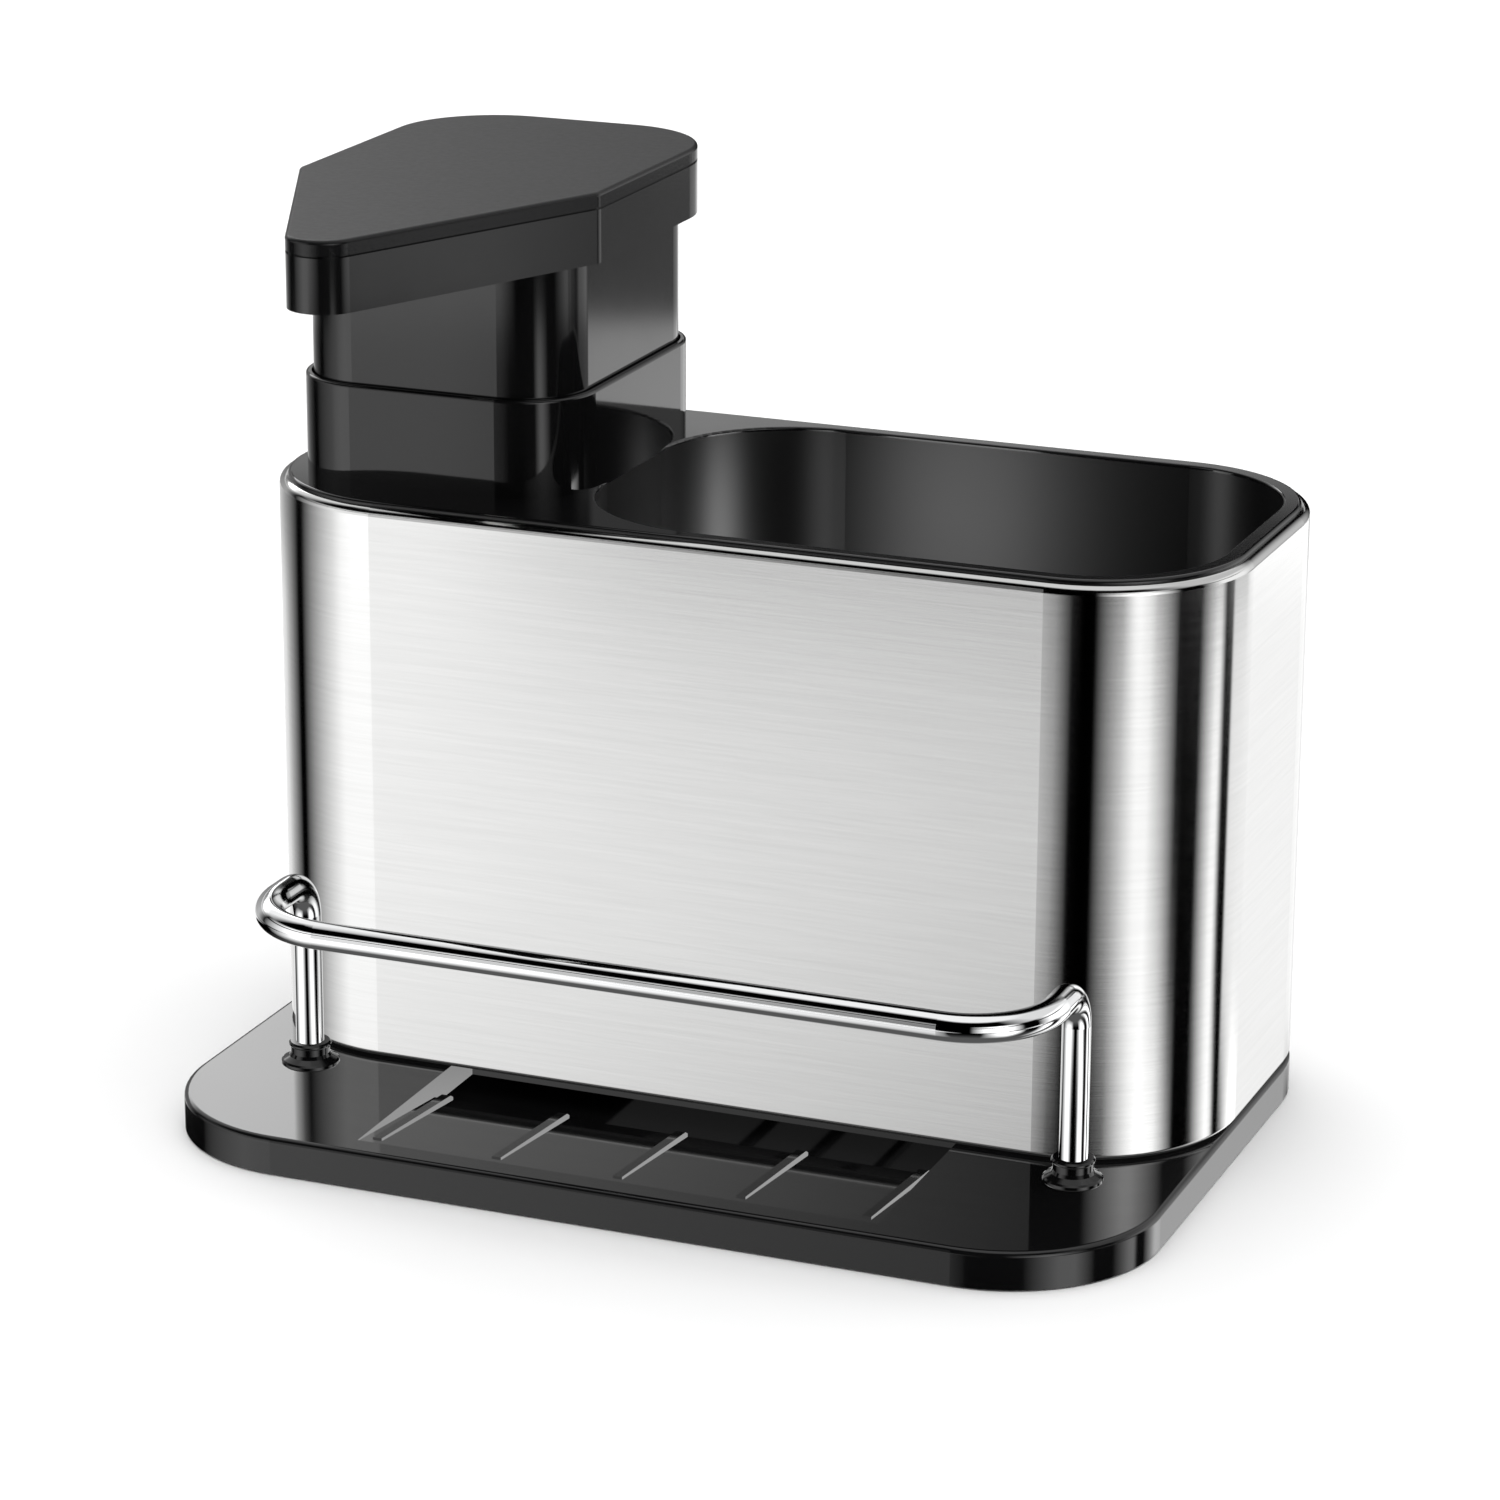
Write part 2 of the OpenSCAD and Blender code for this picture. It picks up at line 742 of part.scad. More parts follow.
// Pump housing: cylinder, ball chamber and dip tube socket in one turned shape
module pump_housing() {
    color("#dfe2df")
        at_axis()
            rotate_extrude()
                polygon([[dip_r, spigot_z], [spigot_r, spigot_z],
                    [spigot_r, inlet_z - 2], [housing_r, inlet_z + 1],
                    [housing_r, housing_flange_z], [neck_r, housing_flange_z],
                    [neck_r, closure_plate_z], [housing_lip_r, closure_plate_z],
                    [housing_lip_r, bush_top - bush_flange_t], [bore_r, bush_top - bush_flange_t],
                    [bore_r, spring_seat_z], [keeper_r, spring_seat_z],
                    [keeper_r, spring_seat_z - ledge_t], [chamber_r, spring_seat_z - ledge_t],
                    [chamber_r, inlet_z], [inlet_r, inlet_z],
                    [inlet_r, inlet_z - inlet_t], [dip_r, inlet_z - inlet_t]]);
}

module guide_bush() {
    flange_z = bush_top - bush_flange_t;
    color("#f2f3f2")
        at_axis()
            rotate_extrude()
                polygon([[stem_r + run_gap, piston_top + piston_gap],
                    [bore_r, piston_top + piston_gap], [bore_r, flange_z],
                    [housing_lip_r, flange_z], [housing_lip_r, bush_top],
                    [stem_r + run_gap, bush_top]]);
}

module dip_tube() {
    color("#f0f1ee")
        at_axis()
            ring(dip_bore_r, dip_r, deck_z + bottle_wall + dip_gap, inlet_z - inlet_t);
}

module inlet_ball() {
    color("#c8c8ca")
        at_axis()
            translate([0, 0, ball_z])
                sphere(ball_r);
}

// A wire wound on the radius r between two heights, with flat cut ends
module coil(r, wire, z0, z1, turns) {
    steps = ceil(turns * 14);
    faces = 6;
    rise = z1 - z0 - wire;
    points = [for (i = [0 : steps])
        let (a = 360 * turns * i / steps, z = z0 + wire / 2 + rise * i / steps)
        for (j = [0 : faces - 1])
            let (b = 360 * j / faces, q = r + wire / 2 * cos(b))
            [q * cos(a), q * sin(a), z + wire / 2 * sin(b)]];
    walls = [for (i = [0 : steps - 1])
        for (j = [0 : faces - 1])
            let (k = (j + 1) % faces, p = i * faces)
            [p + j, p + faces + j, p + faces + k, p + k]];
    polyhedron(points, concat([[for (j = [0 : faces - 1]) j]], walls,
        [[for (j = [faces - 1 : -1 : 0]) steps * faces + j]]));
}

module return_spring() {
    seat_gap = 0.1;
    color("#b8b8ba")
        at_axis()
            coil(spring_r, spring_wire, spring_seat_z + seat_gap, plug_z - seat_gap, spring_turns);
}

// The hole through which soap enters the hollow stem, below the piston
module port() {
    translate([0, 0, port_z])
        rotate([90, 0, 0])
            cylinder(h = 4 * stem_r, r = port_r, center = true);
}

module stem_plug() {
    plug_top = plug_z + plug_t + 4;
    color("#f2f3f2")
        at_axis()
            difference() {
                rotate_extrude()
                    polygon([[0, plug_z], [bore_r - 1.2, plug_z], [bore_r - 1.2, plug_z + plug_t],
                        [stem_bore_r, plug_z + plug_t], [stem_bore_r, plug_top], [0, plug_top]]);
                disc(port_r + 0.1, port_z, plug_top + cut);
                port();
            }
}

// Piston cup: a waisted ring with a wiping lip at each end, raised clear of the port
module piston_cup() {
    lip_r = bore_r - run_gap;
    waist_r = bore_r - 1;
    z0 = plug_z + plug_t;
    color("#7c8a96")
        at_axis()
            rotate_extrude()
                polygon([[stem_r, z0 + 2.6], [waist_r - 0.4, z0 + 1.6], [lip_r - 0.4, z0],
                    [lip_r, z0 + 0.2], [lip_r, z0 + 1.2], [waist_r, z0 + 2.6],
                    [waist_r, piston_top - 2.4], [lip_r, piston_top - 1.2],
                    [lip_r, piston_top - 0.2], [lip_r - 0.4, piston_top],
                    [waist_r - 0.4, piston_top - 0.8], [stem_r, piston_top]]);
}

module pump_stem() {
    color("#f2f3f2")
        at_axis()
            difference() {
                ring(stem_bore_r, stem_r, plug_z + plug_t, stem_top);
                port();
            }
}

module pump_sleeve() {
    color("#1b1b1c")
        difference() {
            prism(sleeve_outline, sleeve_z, web_z);
            prism(inset(sleeve_outline, sleeve_wall), sleeve_z - cut, web_z + cut);
            translate([axis_x, axis_y, spout_z])
                rotate([90, 0, 0])
                    cylinder(h = collar_d, r = spout_r + 0.3);
        }
}

// Cap body: the skirt under the top plate, with the socket that takes the stem
module cap_body() {
    color("#1b1b1c")
        difference() {
            union() {
                difference() {
                    prism(cap_outline, cap_z, plate_z);
                    prism(inset(cap_outline, cap_wall), cap_z - cut, web_z);
                }
                at_axis()
                    disc(socket_r, socket_z, web_z + web_t / 2);
            }
            at_axis()
                disc(stem_r, socket_z - cut, chamber_top);
            translate([axis_x, axis_y, spout_z])
                rotate([90, 0, 0])
                    cylinder(h = socket_r + cut, r = spout_r);
        }
}

// Cap plate: a slab stretched round a disc at each corner, on a foot that leaves a shadow groove
module cap_plate() {
    slab_z = plate_z + groove_h;
    edge_z = plate_z + plate_t - plate_edge;
    color("#3a3a3b") {
        prism(inset(cap_outline, groove_d), plate_z, slab_z + groove_h);
        hull()
            for (p = cap_outline)
                translate([p[0], p[1], 0]) {
                    disc(p[2], slab_z, edge_z);
                    translate([0, 0, edge_z])
                        rotate_extrude()
                            translate([p[2] - plate_edge, 0])
                                circle(plate_edge, $fn = 24);
                }
    }
}

module spout_tube() {
    start_y = axis_y - stem_r - 0.2;
    end_y = outlet_y + spout_step;
    color("#f2f3f2")
        translate([axis_x, start_y, spout_z])
            rotate([90, 0, 0])
                ring(spout_bore_r, spout_r, 0, start_y - end_y);
}

module spout_nozzle() {
    color("#f2f3f2")
        translate([axis_x, outlet_y, 0])
            difference() {
                disc(nozzle_r, cap_z + 0.4, web_z);
                disc(spout_bore_r, cap_z - cut, spout_z);
                translate([0, spout_step, spout_z])
                    rotate([-90, 0, 0])
                        cylinder(h = nozzle_r, r = spout_r);
                translate([0, 0, spout_z])
                    rotate([-90, 0, 0])
                        cylinder(h = nozzle_r, r = spout_bore_r);
            }
}

base_tray();
rubber_feet();
base_screws();
rail_ferrules();
rail_push_nuts();
sponge_rail();
steel_shell();
shell_seal();
top_liner();
soap_bottle();
bottle_closure();
closure_gasket();
pump_housing();
guide_bush();
dip_tube();
inlet_ball();
return_spring();
stem_plug();
piston_cup();
pump_stem();
pump_sleeve();
cap_body();
cap_plate();
spout_tube();
spout_nozzle();
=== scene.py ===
# %% [markdown]
# # Soap pump caddy: finishes, light and camera
# The caddy is a moulded black base with a brushed steel body, a bent chrome rail and a soap pump
# under a long nosed cap. Its solids come ready made and in place. These cells give them their
# finishes, set them on a pale table, and look at them as the photograph does.
# The solids could be modelled again here, but a finish that fits the true shape is simpler, and
# the moving pieces keep their places.

# %% Load the solids
import bpy
import math
from mathutils import Matrix, Vector


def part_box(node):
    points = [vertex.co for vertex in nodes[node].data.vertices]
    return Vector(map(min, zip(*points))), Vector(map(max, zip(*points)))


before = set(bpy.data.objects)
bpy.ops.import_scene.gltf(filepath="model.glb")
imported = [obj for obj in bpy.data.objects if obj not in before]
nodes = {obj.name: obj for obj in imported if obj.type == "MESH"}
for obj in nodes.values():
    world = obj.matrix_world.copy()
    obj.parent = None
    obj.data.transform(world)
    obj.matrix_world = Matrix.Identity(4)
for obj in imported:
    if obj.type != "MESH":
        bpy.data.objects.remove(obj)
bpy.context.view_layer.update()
MM = 0.001

# %% [markdown]
# ## The camera
# The view was found by fitting a camera to the outlines of the base, the body, the rim and the cap,
# so it is written as a place and three angles. A long lens from about 0.9 m keeps upright
# edges nearly parallel, as product pictures do. The photograph burns its whites out and keeps full
# blacks. Blender's usual film softens both, so the plain standard one is used.

# %% Camera
IMAGE = 1500
FOCAL = 5178.85  # in pixels of the image
SENSOR = 36
NEAR = 0.05
CAMERA_PLACE = (323.87, -805.25, 344.73)
YAW, PITCH, ROLL = 21.847, 17.79, 0.27


def turn_camera(camera, yaw, pitch, roll):
    """Points the camera by yaw (left), pitch (down) and roll, in degrees."""
    y, p, r = map(math.radians, (yaw, pitch, roll))
    ahead = Vector((-math.sin(y) * math.cos(p), math.cos(y) * math.cos(p), -math.sin(p)))
    right = ahead.cross(Vector((0, 0, 1))).normalized()
    up = right.cross(ahead)
    right, up = right * math.cos(r) + up * math.sin(r), up * math.cos(r) - right * math.sin(r)
    camera.matrix_world = (Matrix.Translation(camera.location)
                           @ Matrix((right, up, -ahead)).transposed().to_4x4())


lens = bpy.data.cameras.new("photo_camera")
lens.sensor_width = SENSOR
lens.lens = FOCAL / IMAGE * SENSOR
lens.clip_start = NEAR
camera = bpy.data.objects.new("photo_camera", lens)
bpy.context.scene.collection.objects.link(camera)
camera.location = Vector(CAMERA_PLACE) * MM
turn_camera(camera, YAW, PITCH, ROLL)
bpy.context.scene.camera = camera
bpy.context.scene.view_settings.view_transform = "Standard"
print("lens", round(lens.lens, 2), "mm")

# %% [markdown]
# ## Nodes written as sums
# A finish is a small graph of nodes. Wiring it by hand is slow to read, so one class stands for an
# output socket and turns Python's operators into Math nodes. Everything else comes from one method
# that takes the node's type, its settings and its sockets.

# %% Sockets with operators
class Value:
    """An output socket that can be added, multiplied and so on."""

    def __init__(self, graph, socket):
        self.graph = graph
        self.socket = socket

    def math(self, operation, *terms):
        """Adds one Math node on the given terms."""
        return self.graph.add("ShaderNodeMath", {"operation": operation}, dict(enumerate(terms)))

    def __add__(self, other):
        return self.math("ADD", self, other)

    def __sub__(self, other):
        return self.math("SUBTRACT", self, other)

    def __rsub__(self, other):
        return self.math("SUBTRACT", other, self)

    def __mul__(self, other):
        return self.math("MULTIPLY", self, other)

    def __truediv__(self, other):
        return self.math("DIVIDE", self, other)

    __radd__ = __add__
    __rmul__ = __mul__


class Graph:
    """The nodes of one finish."""

    def __init__(self, tree):
        self.tree = tree
        tree.nodes.clear()

    def add(self, kind, settings=None, sockets=None, out=0):
        """Adds a node, sets it, fills its sockets, and returns the output asked for."""
        node = self.tree.nodes.new(kind)
        for name, setting in (settings or {}).items():
            if name == "stops":
                ramp = node.color_ramp
                while len(ramp.elements) < len(setting):
                    ramp.elements.new(0.5)
                for element, (place, grey) in zip(ramp.elements, setting):
                    element.position = place
                    element.color = (grey, grey, grey, 1)
            else:
                setattr(node, name, setting)
        for name, value in (sockets or {}).items():
            if isinstance(value, Value):
                self.tree.links.new(value.socket, node.inputs[name])
            else:
                node.inputs[name].default_value = value
        return Value(self, node.outputs[out]) if len(node.outputs) else node


print("node helpers ready")

# %% [markdown]
# ## A finish
# Every finish here is one Principled shader. What is the same all over, such as how metallic it is,
# is set on the shader itself. What changes over the surface, such as roughness or a bump, is a link.

# %% Make a finish
def finish(name, constants, links):
    """Makes a material from constants and from functions that build what varies."""
    material = bpy.data.materials.new(name)
    material.use_nodes = True
    graph = Graph(material.node_tree)
    sockets = dict(constants)
    place = graph.add("ShaderNodeTexCoord", out="Object")
    for socket, build in links.items():
        sockets[socket] = build(graph, place)
    shader = graph.add("ShaderNodeBsdfPrincipled", sockets=sockets)
    graph.add("ShaderNodeOutputMaterial", sockets={"Surface": shader})
    return material


def grain(graph, place, scale, stretch=(1, 1, 1), detail=3, rough=0.5):
    """Noise from 0 to 1, stretched along the axes."""
    moved = graph.add("ShaderNodeVectorMath", {"operation": "MULTIPLY"}, {0: place, 1: stretch}, "Vector")
    return graph.add("ShaderNodeTexNoise", {"noise_dimensions": "3D"},
                     {"Vector": moved, "Scale": scale, "Detail": detail, "Roughness": rough}, 0)


def bump(graph, height, depth):
    """A normal bent by a height from 0 to 1, which stands for a depth in metres."""
    return graph.add("ShaderNodeBump", None, {"Height": height, "Distance": depth, "Strength": 1})


def dress(material, *names):
    """Puts one finish on the named solids."""
    for name in names:
        slots = nodes[name].data.materials
        slots.clear()
        slots.append(material)
    print(material.name, "on", ", ".join(names))


print("finish helpers ready")

# %% [markdown]
# ## Gloss black plastic
# Base, ferrules, sleeve and cap are black plastic from a polished mould. It mirrors the room
# softly. A little uneven roughness, as wiping leaves, keeps it from looking like glass, and a
# faint long wave in the surface stands for mould shrinkage.

# %% Gloss black
GLOSS_COLOUR = (0.004, 0.004, 0.0042, 1)
PLASTIC_IOR = 1.5
MOULD_WAVE = 0.00001

gloss_black = finish(
    "gloss_black",
    {"Base Color": GLOSS_COLOUR, "IOR": PLASTIC_IOR},
    {"Roughness": lambda g, p: grain(g, p, 60, detail=4) * 0.04 + 0.04,
     "Normal": lambda g, p: bump(g, grain(g, p, 25, detail=1), MOULD_WAVE)})
dress(gloss_black, "base_tray", "rail_ferrules", "pump_sleeve", "cap_body")

# %% [markdown]
# ## Liner
# The liner is gloss above, but the walls of its compartment carry a fine grain that hides the
# marks of brushes. Only these walls lie below the flange, so the height tells the two apart.

# %% Liner
FLANGE_FOOT = (109.2, 109.6)  # mm: grained walls below, gloss flange above
WALL_ROUGHNESS = 0.32
GLOSS_GAIN = 0.27


def step_up(g, p, low, high):
    """Goes from 0 to 1 between two heights in millimetres."""
    height = g.add("ShaderNodeSeparateXYZ", None, {0: p}, "Z")
    return g.add("ShaderNodeMapRange", {"interpolation_type": "SMOOTHSTEP"},
                 {"Value": height, "From Min": low * MM, "From Max": high * MM})


def liner_roughness(g, p):
    """Rough walls below, smooth flange above, with a little grain on both."""
    return WALL_ROUGHNESS - step_up(g, p, *FLANGE_FOOT) * GLOSS_GAIN + grain(g, p, 60, detail=4) * 0.03


liner_black = finish("liner_black", {"Base Color": GLOSS_COLOUR, "IOR": PLASTIC_IOR},
                     {"Roughness": liner_roughness})
dress(liner_black, "top_liner")

# %% [markdown]
# ## Satin black plate
# The plate on the cap is spark-eroded to a fine matt grain on top, so it shows no mirror image
# there, only a soft grey sheen. Its rim is as bright as the cap below it. The height tells the
# two apart, and speckle in the bump gives the grain.

# %% Satin black
PLATE_TOP = (162.3, 162.7)  # mm: gloss rim below, satin top above
RIM_ROUGHNESS = 0.05
SPECKLE = 0.000006


def plate_roughness(g, p):
    """Gloss on the rim, satin on top."""
    top = step_up(g, p, *PLATE_TOP)
    return top * (grain(g, p, 900, detail=2) * 0.08 + 0.24) + RIM_ROUGHNESS


satin_black = finish(
    "satin_black",
    {"Base Color": (0.006, 0.006, 0.0063, 1), "IOR": PLASTIC_IOR, "Specular IOR Level": 0.24},
    {"Roughness": plate_roughness,
     "Normal": lambda g, p: bump(g, grain(g, p, 2500, detail=2), SPECKLE)})
dress(satin_black, "cap_plate")

# %% [markdown]
# ## Plain black plastic
# The closure and the spout's nozzle are plainer mouldings that the cap hides. They get an even,
# duller black.

# %% Plain black
black_plastic = finish(
    "black_plastic",
    {"Base Color": (0.025, 0.025, 0.026, 1), "IOR": PLASTIC_IOR},
    {"Roughness": lambda g, p: grain(g, p, 400, detail=2) * 0.1 + 0.3})
dress(black_plastic, "bottle_closure", "spout_nozzle")

# %% [markdown]
# ## Brushed steel
# A belt runs along the sheet before it is bent, so the scratches lie level and go round the
# corners. They blur a reflection up and down but not sideways, which is why the upright bands
# at the corner stay sharp. Anisotropy turned by a quarter does this, and long thin noise adds
# the scratches that can be seen one by one. The inside of the sheet keeps the dull skin of the
# rolling mill, and its colour there is near black, which is painted shade for the hollow inside
# the body. Those faces look towards the middle of the body, and that tells them apart.

# %% Brushed steel
SCRATCH = (0.02, 0.02, 1)  # noise shrunk along x and y draws long level lines
DARK_STREAK, LIGHT_STREAK = (0.55, 0.55, 0.546, 1), (0.65, 0.65, 0.646, 1)
# painted shade: the faces inside the body get a near black colour
INSIDE_PAINTED_SHADE = (0.02, 0.02, 0.02, 1)
BELT_ROUGHNESS, SKIN_ROUGHNESS = 0.07, 0.4
SCRATCH_DEPTH = 0.000002
INWARD = -0.0001  # square to the middle counts as outside
low_corner, high_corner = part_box("steel_shell")
body_middle = tuple((Vector(low_corner) + Vector(high_corner)) / 2)


def inside(g, p):
    """1 on faces that look towards the middle of the body, 0 on the others."""
    outward = g.add("ShaderNodeVectorMath", {"operation": "SUBTRACT"}, {0: p, 1: body_middle}, "Vector")
    level = g.add("ShaderNodeVectorMath", {"operation": "MULTIPLY"}, {0: outward, 1: (1, 1, 0)}, "Vector")
    facing = g.add("ShaderNodeNewGeometry", out="True Normal")
    towards = g.add("ShaderNodeVectorMath", {"operation": "DOT_PRODUCT"}, {0: level, 1: facing}, "Value")
    return towards.math("LESS_THAN", towards, INWARD)


def brushed_roughness(g, p):
    """Fine streaks in the gloss outside, dull inside."""
    return grain(g, p, 2600, SCRATCH, 3, 0.6) * 0.05 + BELT_ROUGHNESS + inside(g, p) * SKIN_ROUGHNESS


def brushed_colour(g, p):
    """Lighter and darker streaks outside; near black inside, which is painted shade."""
    streak = g.add("ShaderNodeMix", {"data_type": "RGBA"},
                   {"Factor": grain(g, p, 1500, SCRATCH, 4, 0.7), 6: DARK_STREAK, 7: LIGHT_STREAK}, 2)
    return g.add("ShaderNodeMix", {"data_type": "RGBA"}, {"Factor": inside(g, p), 6: streak, 7: INSIDE_PAINTED_SHADE}, 2)


brushed_steel = finish(
    "brushed_steel",
    {"Metallic": 1.0, "Anisotropic": 0.8, "Anisotropic Rotation": 0.25},
    {"Base Color": brushed_colour, "Roughness": brushed_roughness,
     "Normal": lambda g, p: bump(g, grain(g, p, 3600, SCRATCH, 3, 0.65), SCRATCH_DEPTH)})
dress(brushed_steel, "steel_shell")

# %% [markdown]
# ## Chrome and bright steel
# The rail is polished wire with a bright plating: nearly a mirror. Screws, push nuts, spring
# and ball are bare bright steel, a little duller. Two finishes are simpler than one with a switch.

# %% Chrome and bright steel
chrome = finish(
    "chrome",
    {"Base Color": (0.88, 0.885, 0.89, 1), "Metallic": 1.0},
    {"Roughness": lambda g, p: grain(g, p, 90, detail=3) * 0.04 + 0.03})
dress(chrome, "sponge_rail")
bright_steel = finish(
    "bright_steel",
    {"Base Color": (0.62, 0.62, 0.63, 1), "Metallic": 1.0},
    {"Roughness": lambda g, p: grain(g, p, 300, detail=3) * 0.12 + 0.18})
dress(bright_steel, "base_screws", "rail_push_nuts", "inlet_ball", "return_spring")

# %% [markdown]
# ## Rubber and the pump's plastics
# Feet and seal are black rubber, the gasket is grey. Bottle, housing and dip tube are milky
# polyethylene, stem and bush are white acetal, and the piston is a soft blue-grey grade. Light
# goes a little way into the milky plastic, and a touch of subsurface scattering shows that.

# %% Rubber and plastics
RUBBER_TOOTH = 0.00004
MILKY = {"Base Color": (0.8, 0.82, 0.79, 1), "Subsurface Weight": 0.2, "Subsurface Scale": 0.004}

black_rubber = finish(
    "black_rubber", {"Base Color": (0.02, 0.02, 0.02, 1)},
    {"Roughness": lambda g, p: grain(g, p, 500) * 0.15 + 0.65,
     "Normal": lambda g, p: bump(g, grain(g, p, 1800), RUBBER_TOOTH)})
dress(black_rubber, "rubber_feet", "shell_seal")
grey_rubber = finish(
    "grey_rubber", {"Base Color": (0.3, 0.31, 0.31, 1)},
    {"Roughness": lambda g, p: grain(g, p, 500) * 0.15 + 0.6})
dress(grey_rubber, "closure_gasket")
natural_plastic = finish(
    "natural_plastic", MILKY,
    {"Roughness": lambda g, p: grain(g, p, 200) * 0.1 + 0.32})
dress(natural_plastic, "soap_bottle", "pump_housing", "dip_tube")
white_plastic = finish(
    "white_plastic", {"Base Color": (0.85, 0.85, 0.84, 1)},
    {"Roughness": lambda g, p: grain(g, p, 200) * 0.08 + 0.26})
dress(white_plastic, "guide_bush", "stem_plug", "pump_stem", "spout_tube")
piston_plastic = finish(
    "piston_plastic", {"Base Color": (0.25, 0.32, 0.38, 1)},
    {"Roughness": lambda g, p: grain(g, p, 200) * 0.08 + 0.35})
dress(piston_plastic, "piston_cup")

# %% [markdown]
# ## Table
# The caddy stands on a pale table that runs far back. Mirrors in the object look past the table
# into the studio, as they do on a sheet of glass over white paper, so the table is left out of
# mirror images. So are the base and the rail, which the photograph's clean steel doesn't show, and
# some pieces that lie hidden inside or below.

# %% Table
HALF_TABLE = 6
UNMIRRORED = ["base_tray", "sponge_rail", "rubber_feet", "base_screws", "rail_push_nuts",
              "rail_ferrules", "soap_bottle", "pump_housing", "dip_tube"]

corners = [(-HALF_TABLE, -HALF_TABLE, 0), (HALF_TABLE, -HALF_TABLE, 0),
           (HALF_TABLE, HALF_TABLE, 0), (-HALF_TABLE, HALF_TABLE, 0)]
table_mesh = bpy.data.meshes.new("table")
table_mesh.from_pydata(corners, [], [(0, 1, 2, 3)])
table = bpy.data.objects.new("table", table_mesh)
bpy.context.scene.collection.objects.link(table)
for piece in [table] + [nodes[name] for name in UNMIRRORED]:
    piece.visible_glossy = False
table_paint = finish("table_paint", {"Base Color": (0.86, 0.86, 0.86, 1)},
                     {"Roughness": lambda g, p: grain(g, p, 40) * 0.1 + 0.6})
table_mesh.materials.append(table_paint)
print("table", 2 * HALF_TABLE, "m wide,", len(UNMIRRORED), "pieces left out of mirror images")

# %% [markdown]
# ## Studio walls
# A product photographer stands white walls round the piece and black boards between them. The
# boards make the dark upright bands in steel and chrome. Real boards could be modelled, but
# they would show in other views, so they are painted on the sky. Each ring below is one storey of
# walls: the low ones are seen by the base and the body, which mirror what lies below the lens, and
# the higher ones by the collar, the cap and the tops. Directions are counted from the front, to the
# right, in degrees.

# %% Studio walls
HALF_TURN = 180


def lit(wall, angle):
    """How bright a wall is in one direction. It fades out at both ends."""
    start, full, fade, end, brightness = wall
    if angle <= start or angle >= end:
        return 0
    if angle < full:
        return brightness * (angle - start) / (full - start)
    if angle > fade:
        return brightness * (end - angle) / (end - fade)
    return brightness


def ring(*walls):
    """Brightness round the compass, as stops. Walls add up, and the rest is black board."""
    angles = sorted({angle for wall in walls for angle in wall[:4] if abs(angle) <= HALF_TURN})
    return [(angle, sum(lit(wall, angle) for wall in walls)) for angle in angles]


# a wall: where it starts, is full, starts to fade and ends, and its brightness
FRONT = [(-99, -55, -30, -16, 1.3), (19, 48, 54, 79, 2.4), (97, 116, 140, 180, 1.4)]
# a ring: the lowest and the highest elevation that it fills, and its walls
RINGS = [
    (-90, -62, ring((-181, -180, 180, 181, 0.1))),
    (-32, -21.6, ring((-181, -180, -147, -139, 0.5), (-96, -50, -30, -8, 1.4), (32, 58, 70, 86, 2),
                      (102, 118, 123, 127, 1.8), (135, 151, 154, 176, 2.4))),
    (-20.8, -16, ring((-181, -180, -130, -101, 1), (-95, -50, -29, 3, 1.6), (19, 50, 58, 80, 1.6),
                      (98, 114, 118, 124, 1.6), (131, 134, 180, 181, 1.3))),
    (-15.2, -13.15, ring((-181, -180, -140, -99, 0.7), (-92, -50, -25, -23.5, 1.3),
                         (-58, -40, -29, -26.5, 0.6), (-26, -24, -22, -2, 0.4), (38, 46, 50, 62, 1.9),
                         (122, 128, 148, 150, 0.4), (148, 157, 180, 181, 1.6))),
    (-12.95, -11.5, ring((-181, -180, -140, -92, 1), (-75, -40, -25, 10, 1.9), (75, 96, 101, 104, 1.4),
                         (100, 104, 112, 124, 0.5), (104, 105, 107, 108.5, 0.5),
                         (120, 128, 148, 153, 1), (150, 165, 180, 181, 0.6))),
    (-10, 12.6, ring((-170, -120, -115, -99, 0.5), *FRONT)),
    (13.2, 14.6, ring((-181, -180, -115, -99, 0.8), *FRONT)),
    (15, 18.5, ring((-158, -120, -118, -99, 0.8), (130, 146, 150, 180, 1))),
    (20, 23.2, ring((-170, -156, -118, -99, 1), (-154.2, -153.2, -140, -110, 2.3), *FRONT)),
    (30, 58, ring((-181, -180, -120, -85, 1), (60, 100, 180, 181, 0.8))),
    (68, 90, ring((-181, -180, 180, 181, 1)))]
print(len(RINGS), "rings with up to", max(len(stops) for _, _, stops in RINGS), "stops")

# %% [markdown]
# ## Sky
# The sky turns each direction into a compass angle and an elevation. The compass angle picks the
# brightness in every ring, and the elevation blends from one ring to the next. A picture wrapped
# round the scene would do as well, but walls given by numbers can be moved one at a time.

# %% Sky
PEAK = 5.0  # a ramp holds 0 to 1, so the walls are divided by this and multiplied again

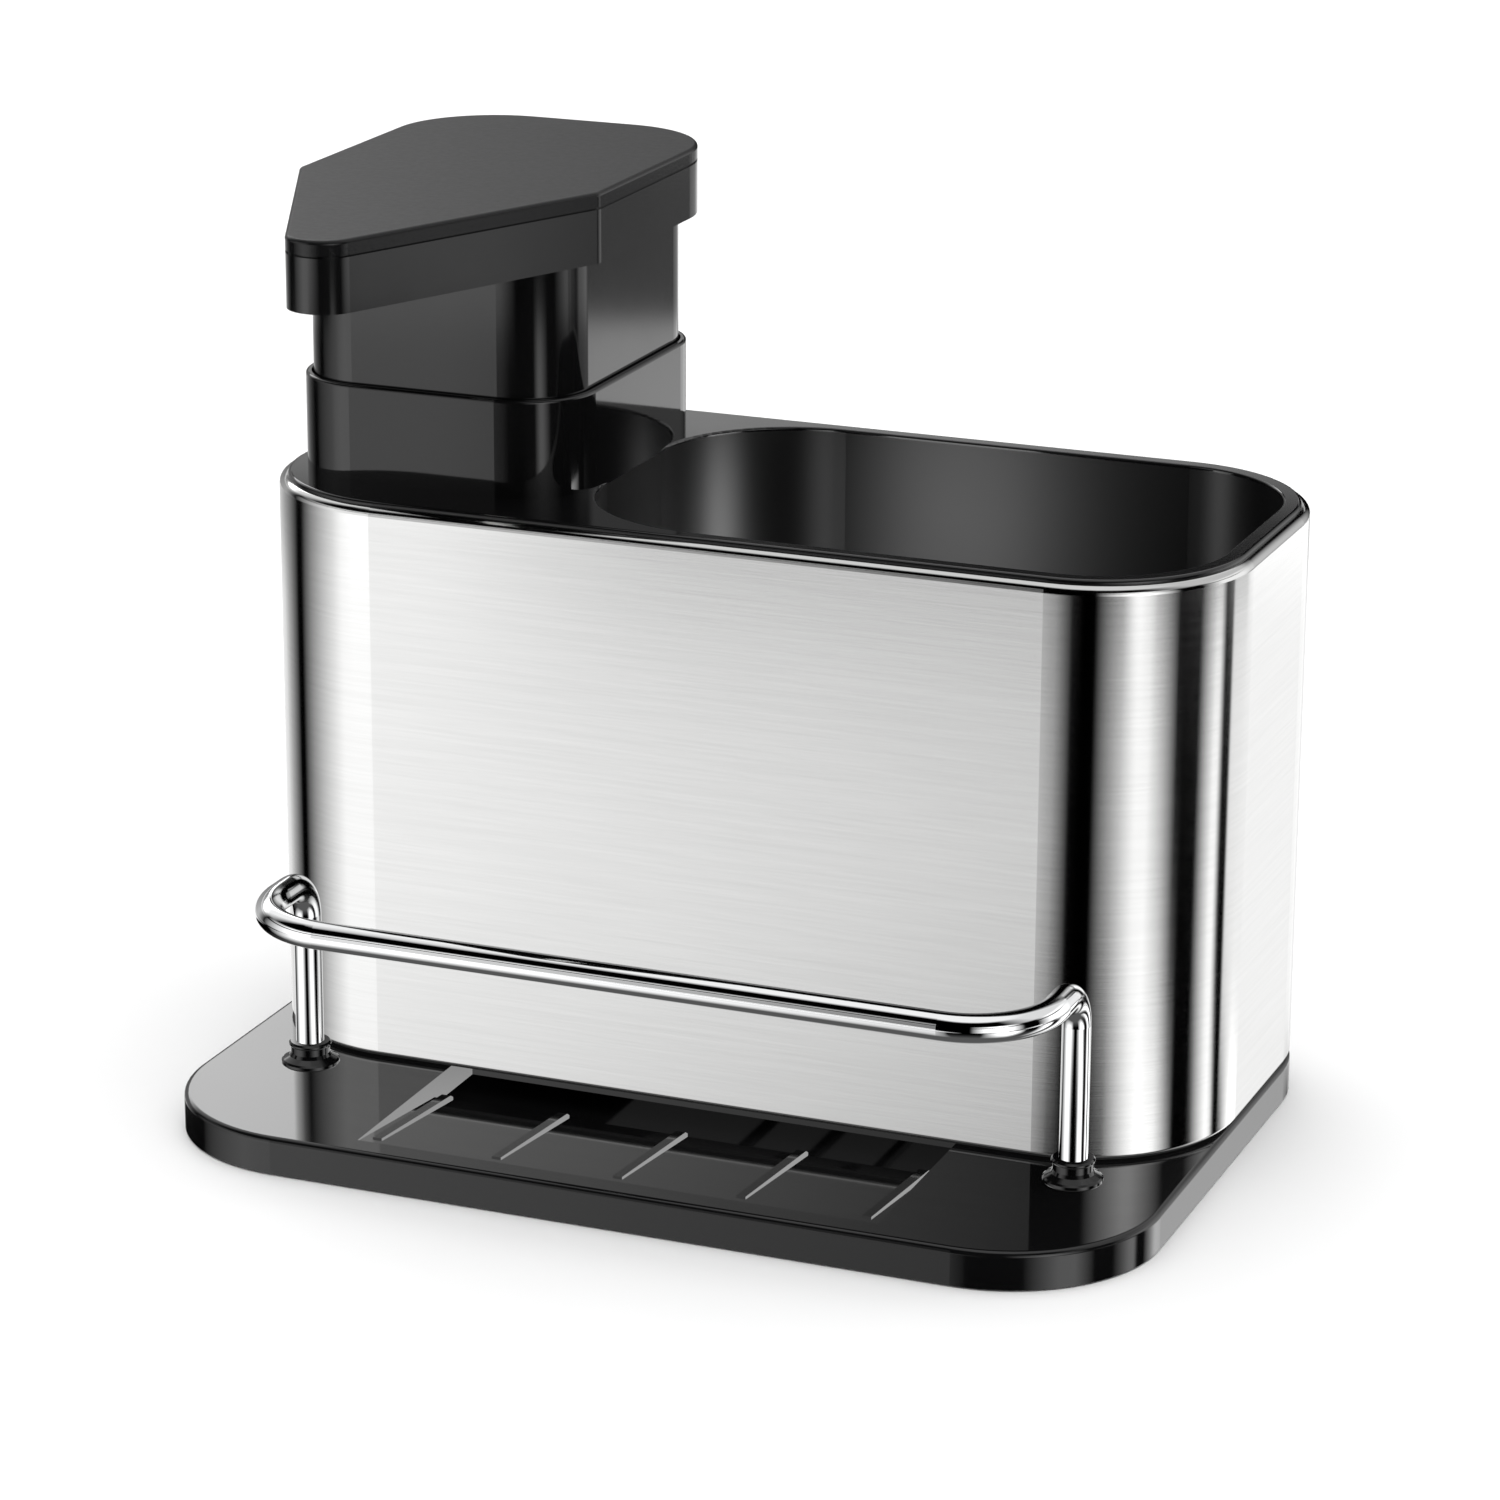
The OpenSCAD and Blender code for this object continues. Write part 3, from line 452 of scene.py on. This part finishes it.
studio = bpy.data.worlds.new("studio")
bpy.context.scene.world = studio
studio.use_nodes = True
sky = Graph(studio.node_tree)
direction = sky.add("ShaderNodeTexCoord", out="Generated")
x = sky.add("ShaderNodeSeparateXYZ", None, {0: direction}, "X")
y = Value(sky, x.socket.node.outputs["Y"])
z = Value(sky, x.socket.node.outputs["Z"])
azimuth = x.math("ARCTAN2", x, y * -1) / (2 * math.pi) + 0.5
elevation = z.math("ARCSINE", z) * math.degrees(1)


def painted(stops):
    """One ring, as a ramp over the compass directions."""
    ramp = [((angle + HALF_TURN) / (2 * HALF_TURN), brightness / PEAK) for angle, brightness in stops]
    return sky.add("ShaderNodeValToRGB", {"stops": ramp}, {0: azimuth})


light = painted(RINGS[0][2])
for (_, highest, _), (lowest, _, stops) in zip(RINGS, RINGS[1:]):
    share = sky.add("ShaderNodeMapRange", None,
                    {"Value": elevation, "From Min": highest, "From Max": lowest})
    light = sky.add("ShaderNodeMix", {"data_type": "RGBA"},
                    {"Factor": share, 6: light, 7: painted(stops)}, 2)
background = sky.add("ShaderNodeBackground", None, {"Color": light, "Strength": PEAK})
sky.add("ShaderNodeOutputWorld", sockets={"Surface": background})
print("sky of", len(studio.node_tree.nodes), "nodes")

# %% [markdown]
# ## Lamps
# A broad overhead light whitens the table and gives the faint shadow at the foot. It is kept out
# of mirror images. Two small lamps stand inside the compartment, one against its front wall and one
# against its right wall, and light the far walls as in the photograph. The lens doesn't see them.

# %% Lamps
def lamp(name, kind, place, aim, power, **settings):
    """A lamp at a place in millimetres, turned towards another."""
    light = bpy.data.lights.new(name, kind)
    light.energy = power
    for key, setting in settings.items():
        setattr(light, key, setting)
    holder = bpy.data.objects.new(name, light)
    bpy.context.scene.collection.objects.link(holder)
    holder.location = Vector(place) * MM
    holder.rotation_euler = (Vector(aim) - Vector(place)).to_track_quat("-Z", "Y").to_euler()
    holder.visible_camera = False
    return holder


overhead = lamp("overhead", "SUN", (0, 0, 1500), (0, 60, 0), 2.6, angle=math.radians(100))
overhead.visible_glossy = False
lamp("compartment_front", "AREA", (-3.5, -4, 80), (26, 59, 80), 0.0045, shape="RECTANGLE",
     size=0.03, size_y=0.05, spread=math.radians(80))
lamp("compartment_right", "AREA", (72, 34, 60), (-25, 42, 60), 0.01, shape="RECTANGLE",
     size=0.05, size_y=0.05, spread=math.radians(60))
